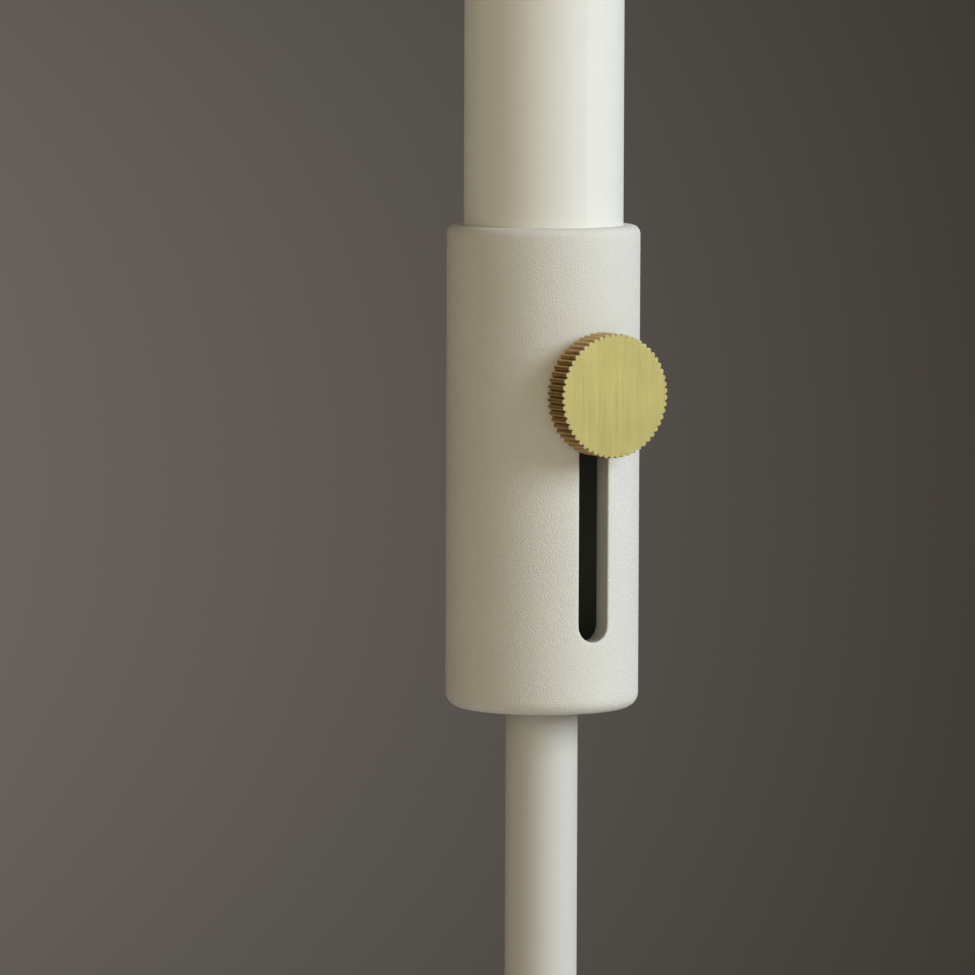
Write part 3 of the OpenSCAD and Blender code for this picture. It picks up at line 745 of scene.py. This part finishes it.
class ARCLAMP_OT_thumb_screw(bpy.types.Operator):
    """Model the knurled thumb screw, and finish its pad"""
    bl_idname = "arc_lamp.thumb_screw"
    bl_label = "Thumb screw"

    def execute(self, context):
        s = sizes()
        bm = bmesh.new()
        teeth, per_tooth = s.knurl_teeth, 8
        count = teeth * per_tooth
        back = KNOB_FACE_X - KNOB_THICK
        turn = Matrix.Rotation(math.pi / 2, 4, "Y")
        ring = bmesh.ops.create_circle(bm, cap_ends=False, radius=KNOB_R, segments=count,
                                       matrix=Matrix.Translation((back, 0, STUD_Z)) @ turn)["verts"]

        def tooth(vert, depth):
            across = Vector((0, vert.co.y, vert.co.z - STUD_Z))
            angle = math.atan2(across.y, across.z)
            lobe = abs(math.sin(angle * teeth / 2)) ** 0.65
            across.length = KNOB_R - s.knurl_bevel - depth * (1 - lobe)
            vert.co.y, vert.co.z = across.y, STUD_Z + across.z

        for vert in ring:
            tooth(vert, s.knurl_depth)
        edges = list({e for v in ring for e in v.link_edges})

        def pull(edges, shift, shrink):
            out = bmesh.ops.extrude_edge_only(bm, edges=edges)["geom"]
            verts = {g for g in out if isinstance(g, bmesh.types.BMVert)}
            for v in verts:
                v.co.x += shift
                across = Vector((0, v.co.y, v.co.z - STUD_Z))
                across *= shrink
                v.co.y, v.co.z = across.y, STUD_Z + across.z
            return [g for g in out if isinstance(g, bmesh.types.BMEdge) and verts.issuperset(g.verts)]

        bevel = s.knurl_bevel
        wide = KNOB_R / (KNOB_R - bevel)
        rear = pull(edges, 0.0, 0.96)
        rear = pull(rear, 0.0, STUD_NECK_R / (KNOB_R * 0.96))
        bmesh.ops.edgeloop_fill(bm, edges=rear)
        front = pull(edges, bevel, wide)
        front = pull(front, 0.05 * MM, 1.0)
        front = pull(front, KNOB_THICK - 2 * bevel - 0.1 * MM, 1.0)
        front = pull(front, 0.05 * MM, 1.0)
        front = pull(front, bevel, 1 / wide)
        front = pull(front, 0.0, 0.99)
        front = pull(front, 0.0, 0.95)
        bmesh.ops.edgeloop_fill(bm, edges=front)
        face_out(bm)
        # the knurled side takes the brass copy darkened as painted shade
        choose(bm, lambda c, n: abs(n.x) < 0.35 and math.hypot(c.y, c.z - STUD_Z) > KNOB_R * 0.85, 1)
        # the front bevel takes the pale brass of a painted glint
        choose(bm, lambda c, n: 0.35 <= n.x < 0.97 and c.x > KNOB_FACE_X - 1.5 * bevel, 3)
        turned(bm, [(0, back, 0), (STUD_NECK_R, back, 0), (STUD_NECK_R, back - STUD_NECK_IN, 0.1 * MM),
                    (STUD_R, back - STUD_NECK_IN, 0), (STUD_R, back - STUD_TIP_IN, 0.5 * MM),
                    (0, back - STUD_TIP_IN, 0)],
               spot=(0.0, STUD_Z), steps=48, axis="X", index=2)
        finishes = [FINISH[name] for name in ("brushed brass", "knurl brass with painted shade", "turned brass", "brass rim painted glint")]
        keep(bm, "thumb_screw_head", "knob", "thumbscrew", finishes, math.radians(28))
        repaint("clamp_saddle", "turned brass")
        return {"FINISHED"}


class ARCLAMP_OT_rod(bpy.types.Operator):
    """Paint the drop rod and finish what it is joined with"""
    bl_idname = "arc_lamp.rod"
    bl_label = "Drop rod"

    def execute(self, context):
        repaint("drop_rod", "rod cream")
        repaint("rod_joiner", "turned steel")
        repaint("cup_nipple", "turned brass")
        repaint("cup_nut", "turned steel")
        return {"FINISHED"}


class ARCLAMP_OT_shade(bpy.types.Operator):
    """Model the dome shade, and finish the cup, its ring, the lamp holder and the switch"""
    bl_idname = "arc_lamp.shade"
    bl_label = "Cup and shade"

    def execute(self, context):
        s = sizes()
        repaint("shade_cup", "textured cream")
        repaint("shade_ring", "phenolic")
        repaint("lampholder", "phenolic")
        repaint("switch_body", "phenolic")
        repaint("switch_button", "turned brass")
        top = CUP_LOW
        rise = math.sqrt(SHADE_R ** 2 - SHADE_LAND_R ** 2)
        centre = top - rise
        inner = SHADE_R - SHADE_WALL
        first = math.degrees(math.acos(SHADE_LAND_R / SHADE_R))
        last = math.degrees(math.acos((SHADE_LAND_R - 0.3 * MM) / inner))
        bead = (inner, SHADE_LOW + s.shade_bead)
        outline = ([(SHADE_HOLE_R, top, 0)] + arc((0, centre), SHADE_R, first, 1.0, 36)
                   + arc(bead, s.shade_bead, 40, -220, 20) + arc((0, centre), inner, 1.0, last, 36)
                   + [(SHADE_HOLE_R, top - SHADE_WALL, 0)])
        bm = bmesh.new()
        turned(bm, outline, spot=(DROP_X, 0.0), steps=192)
        choose(bm, lambda c, n: (c - Vector((DROP_X, 0, centre))).length < SHADE_R - SHADE_WALL * 0.5
               and c.z > SHADE_LOW + 2 * s.shade_bead * 0.9
               or c.z < top - SHADE_WALL * 0.5 and math.hypot(c.x - DROP_X, c.y) < SHADE_LAND_R, 1)
        keep(bm, "dome_shade", "drop", "shade", [FINISH["smooth cream"], FINISH["inside white"]],
             math.radians(35))
        return {"FINISHED"}


class ARCLAMP_OT_bulb(bpy.types.Operator):
    """Finish the bulb"""
    bl_idname = "arc_lamp.bulb"
    bl_label = "Bulb"

    def execute(self, context):
        repaint("bulb_glass", "opal glass")
        repaint("bulb_cap", "turned brass")
        return {"FINISHED"}


class ARCLAMP_OT_base(bpy.types.Operator):
    """Finish the base and its pad"""
    bl_idname = "arc_lamp.base"
    bl_label = "Base"

    def execute(self, context):
        repaint("base_cover", "textured cream")
        repaint("foot_collar", "textured cream")
        repaint("base_weight", "cast iron")
        repaint("base_pad", "foam")
        return {"FINISHED"}


class ARCLAMP_OT_inner_parts(bpy.types.Operator):
    """Finish the parts that are hidden inside the lamp"""
    bl_idname = "arc_lamp.inner_parts"
    bl_label = "Inner parts"

    def execute(self, context):
        for node in ("mast_bolt", "mast_bolt_washer", "foot_dowel", "foot_plug", "swivel_spigot", "swivel_stop_pin",
                     "arc_joiner"):
            repaint(node, "turned steel")
        for node in ("swivel_bush_lower", "swivel_bush_upper"):
            repaint(node, "black plastic")
        for node in ("mast_cable", "arc_cable", "drop_cable"):
            repaint(node, "cable sheath")
        return {"FINISHED"}


# ---------------------------------------------------------------------------
# Studio
# ---------------------------------------------------------------------------

def heading_vector(angle):
    """Level direction from the drop, with 0 along the thumb screw's axis."""
    return Vector((math.cos(angle), math.sin(angle), 0))


def area_light(name, spot, target, size, power, colour):
    data = bpy.data.lights.new(name, "AREA")
    data.shape = "RECTANGLE"
    data.size, data.size_y = size
    data.energy = power
    data.color = colour
    light = bpy.data.objects.new(name, data)
    bpy.context.scene.collection.objects.link(light)
    light.location = spot
    light.rotation_mode = "QUATERNION"
    light.rotation_quaternion = (Vector(target) - Vector(spot)).to_track_quat("-Z", "Y")
    light.visible_camera = False
    return light


class ARCLAMP_OT_studio(bpy.types.Operator):
    """Set up the floor, the background, the lights and the camera"""
    bl_idname = "arc_lamp.studio"
    bl_label = "Studio"

    def execute(self, context):
        scene, st = context.scene, studio()
        toward = heading_vector(-st.heading)
        right = Vector((-toward.y, toward.x, 0))
        self.camera(scene, st, toward, right)
        self.floor(scene, st)
        self.world(scene, st, right)
        target = Vector((DROP_X, 0, SLEEVE_LOW))

        def way(side, lift):
            level = toward * math.cos(math.radians(side)) + right * math.sin(math.radians(side))
            return level * math.cos(math.radians(lift)) + Vector((0, 0, math.sin(math.radians(lift))))

        area_light("key light", target + way(KEY_TURN, KEY_LIFT) * LIGHT_AWAY, target, (KEY_WIDTH, KEY_WIDTH),
                   st.key_power, KEY_COLOUR)
        area_light("fill light", target + way(FILL_TURN, FILL_LIFT) * LIGHT_AWAY, target, (FILL_WIDTH, FILL_WIDTH),
                   st.fill_power, FILL_COLOUR)
        scene.view_settings.view_transform = "Standard"
        return {"FINISHED"}

    def camera(self, scene, st, toward, right):
        data = bpy.data.cameras.new("camera")
        data.lens = st.lens
        data.sensor_width = 36.0
        data.clip_start, data.clip_end = 0.05, 200.0
        camera = bpy.data.objects.new("camera", data)
        scene.collection.objects.link(camera)
        back = (toward * math.cos(st.pitch) + Vector((0, 0, 1)) * math.sin(st.pitch)).normalized()
        aim = Vector((DROP_X, 0, SLEEVE_HIGH - AIM_UNDER_SLEEVE_TOP)) - right * AIM_LEFT_OF_DROP
        camera.location = aim + back * CAMERA_AWAY
        camera.rotation_mode = "QUATERNION"
        camera.rotation_quaternion = (-back).to_track_quat("-Z", "Y") @ Quaternion((0, 0, 1), st.roll)
        scene.camera = camera

    def floor(self, scene, st):
        bm = bmesh.new()
        bmesh.ops.create_circle(bm, cap_ends=True, radius=FLOOR_R, segments=128)
        mesh = bpy.data.meshes.new("studio_floor")
        bm.to_mesh(mesh)
        bm.free()
        floor = bpy.data.objects.new("studio_floor", mesh)
        scene.collection.objects.link(floor)
        material, g, shader = finish_named("plain floor")
        spot = g.place()
        cloud = g.noise(spot, 3.0, 3.0, 0.5)
        shade = g.mix(g.spread(cloud, 0.0, 0.05, 0.3, 0.7), tuple(st.floor), tuple(v * 0.8 for v in st.floor))
        g.feed(shader.inputs["Base Color"], shade)
        g.feed(shader.inputs["Roughness"], 0.8)
        away = g.add("ShaderNodeVectorMath", operation="LENGTH")
        g.feed(away.inputs[0], spot)
        g.feed(shader.inputs["Alpha"], g.spread(away.outputs["Value"], 1.0, 0.0, FLOOR_FADE_FROM, FLOOR_FADE_TO))
        mesh.materials.append(material)

    def world(self, scene, st, right):
        world = bpy.data.worlds.new("studio")
        world.use_nodes = True
        scene.world = world
        g = Graph(world.node_tree)
        around = world.node_tree.nodes["Background"]
        way = g.add("ShaderNodeTexCoord").outputs["Generated"]

        def along(axis, first, last):
            dot = g.add("ShaderNodeVectorMath", operation="DOT_PRODUCT")
            g.feed(dot.inputs[0], way)
            dot.inputs[1].default_value = axis
            return g.spread(dot.outputs["Value"], 0.0, 1.0, first, last)

        # the backdrop darkens to the right, and a little towards its top and bottom
        seen = g.mix(along(right, -0.07, 0.07), tuple(st.backdrop_left), tuple(st.backdrop_right))
        height = along(Vector((0, 0, 1)), -0.157, -0.017)
        edge = g.maths("POWER", g.maths("ABSOLUTE", g.maths("SUBTRACT", height, 0.5)), 2.0)
        seen = g.mix(g.maths("MULTIPLY", edge, 0.7, clamp=True), seen, tuple(v * 0.25 for v in st.backdrop_right))
        path = g.add("ShaderNodeLightPath")
        g.feed(around.inputs["Color"], g.mix(path.outputs["Is Camera Ray"], tuple(st.room), seen))


class ARCLAMP_PT_panel(bpy.types.Panel):
    """Settings and steps of the arc floor lamp"""
    bl_idname = "ARCLAMP_PT_panel"
    bl_label = "Arc floor lamp"
    bl_space_type = "VIEW_3D"
    bl_region_type = "UI"
    bl_category = "Arc lamp"

    def draw(self, context):
        layout = self.layout
        for group in (sizes(), colours(), studio()):
            box = layout.box()
            for key in group.__annotations__:
                box.prop(group, key)
        column = layout.column(align=True)
        for operator in STEPS:
            column.operator(operator.bl_idname)


STEPS = (
    ARCLAMP_OT_finishes,
    ARCLAMP_OT_tubes,
    ARCLAMP_OT_sleeve,
    ARCLAMP_OT_thumb_screw,
    ARCLAMP_OT_rod,
    ARCLAMP_OT_shade,
    ARCLAMP_OT_bulb,
    ARCLAMP_OT_base,
    ARCLAMP_OT_inner_parts,
    ARCLAMP_OT_studio,
)
CLASSES = (ArcLampSizes, ArcLampColours, ArcLampStudio, *STEPS, ARCLAMP_PT_panel)


def register():
    for cls in CLASSES:
        bpy.utils.register_class(cls)
    bpy.types.Scene.arc_lamp_sizes = PointerProperty(type=ArcLampSizes)
    bpy.types.Scene.arc_lamp_colours = PointerProperty(type=ArcLampColours)
    bpy.types.Scene.arc_lamp_studio = PointerProperty(type=ArcLampStudio)


def unregister():
    del bpy.types.Scene.arc_lamp_studio
    del bpy.types.Scene.arc_lamp_colours
    del bpy.types.Scene.arc_lamp_sizes
    for cls in reversed(CLASSES):
        bpy.utils.unregister_class(cls)


def main():
    register()
    for operator in STEPS:
        group, name = operator.bl_idname.split(".")
        getattr(getattr(bpy.ops, group), name)()


if __name__ == "__main__":
    main()
